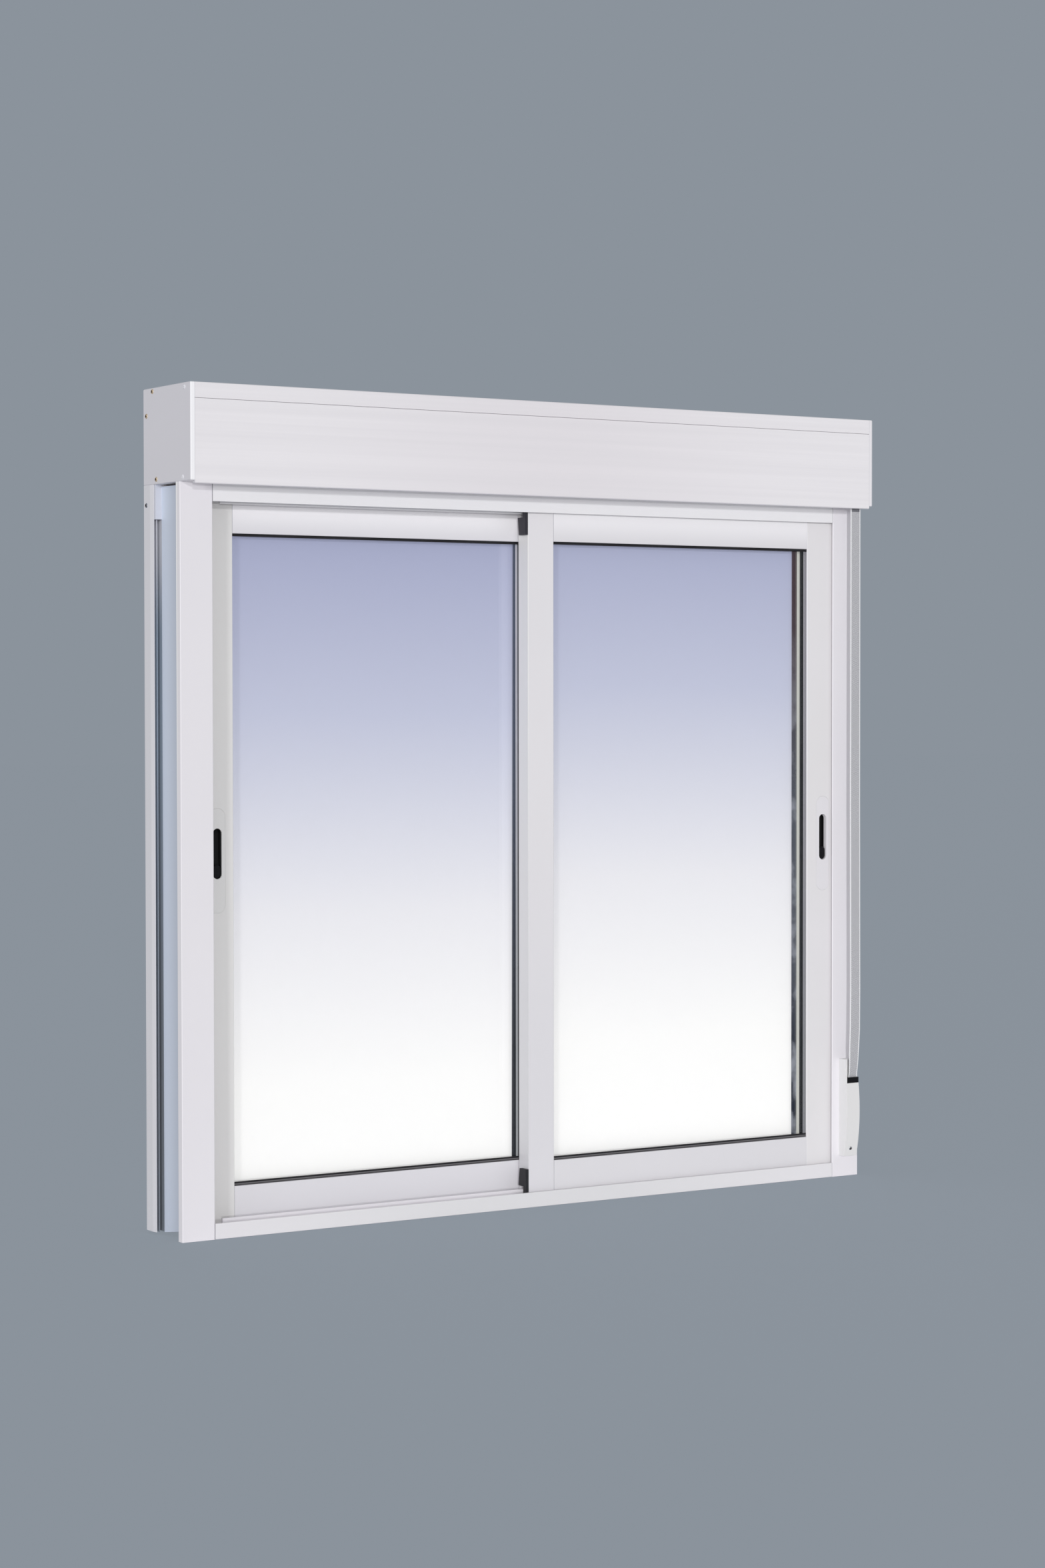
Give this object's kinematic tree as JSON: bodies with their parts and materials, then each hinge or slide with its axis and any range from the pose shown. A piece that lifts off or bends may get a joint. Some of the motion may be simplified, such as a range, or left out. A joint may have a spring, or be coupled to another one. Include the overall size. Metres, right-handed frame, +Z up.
{
  "type": "horizontal sliding window",
  "caption": "White aluminium horizontal sliding window with double-glazed sashes on rollers, flush pulls, and a roller shutter box with guides, lift strap and winder.",
  "frame": {"origin": "on the underside of the sill, at mid width, in the plane where the room flange meets the wall", "axes": "+X to the right seen from the room, +Y outward through the wall, +Z up"},
  "size_m": [1.2, 0.149, 1.2],
  "materials": {
    "white_aluminium": "satin white powder coat on extruded aluminium",
    "white_plastic": "satin white rigid plastic",
    "clear_glass": "clear float glass",
    "spacer_aluminium": "perforated mill finish spacer bar",
    "black_rubber": "matt black glazing gasket",
    "black_plastic": "fine textured black moulding",
    "grey_nylon": "smooth turned nylon",
    "grey_webbing": "diagonal weave with white selvedges"
  },
  "bodies": {
    "frame": {"left_jamb": "white_aluminium", "left_guide": "white_aluminium", "left_guide_plug": "white_plastic", "left_box_end": "white_plastic", "right_jamb": "white_aluminium", "right_guide": "white_aluminium", "right_guide_plug": "white_plastic", "right_box_end": "white_plastic", "sill": "white_aluminium", "head": "white_aluminium", "box_top": "white_plastic", "box_lid": "white_plastic", "box_floor": "white_plastic", "box_back": "white_plastic", "end_slat": "white_aluminium", "strap": "grey_webbing", "strap_bush": "white_plastic", "winder_case": "white_plastic", "winder_mouth": "black_plastic"},
    "left_sash": {"left_sash_outer_stile": "white_aluminium", "left_sash_meeting_stile": "white_aluminium", "left_sash_top_rail": "white_aluminium", "left_sash_bottom_rail": "white_aluminium", "left_sash_inner_pane": "clear_glass", "left_sash_outer_pane": "clear_glass", "left_sash_spacer": "spacer_aluminium", "left_sash_gaskets": "black_rubber", "left_sash_rollers": "grey_nylon", "left_sash_roller_carriages": "black_plastic", "left_sash_pull": "white_plastic", "left_sash_wind_stops": "black_plastic"},
    "right_sash": {"right_sash_outer_stile": "white_aluminium", "right_sash_meeting_stile": "white_aluminium", "right_sash_top_rail": "white_aluminium", "right_sash_bottom_rail": "white_aluminium", "right_sash_inner_pane": "clear_glass", "right_sash_outer_pane": "clear_glass", "right_sash_spacer": "spacer_aluminium", "right_sash_gaskets": "black_rubber", "right_sash_rollers": "grey_nylon", "right_sash_roller_carriages": "black_plastic", "right_sash_pull": "white_plastic", "right_sash_wind_stops": "black_plastic"},
    "left_latch": {"left_sash_latch": "black_plastic"},
    "right_latch": {"right_sash_latch": "black_plastic"}
  },
  "joints": [
    {"name": "left_sash_slide", "type": "slide", "parent": "frame", "child": "left_sash", "axis": [1, 0, 0], "range_m": [0, 0.52]},
    {"name": "right_sash_slide", "type": "slide", "parent": "frame", "child": "right_sash", "axis": [-1, 0, 0], "range_m": [0, 0.52]},
    {"name": "left_latch_slide", "type": "slide", "parent": "left_sash", "child": "left_latch", "axis": [0, 0, 1], "range_m": [0, 0.015]},
    {"name": "right_latch_slide", "type": "slide", "parent": "right_sash", "child": "right_latch", "axis": [0, 0, 1], "range_m": [0, 0.015]}
  ]
}
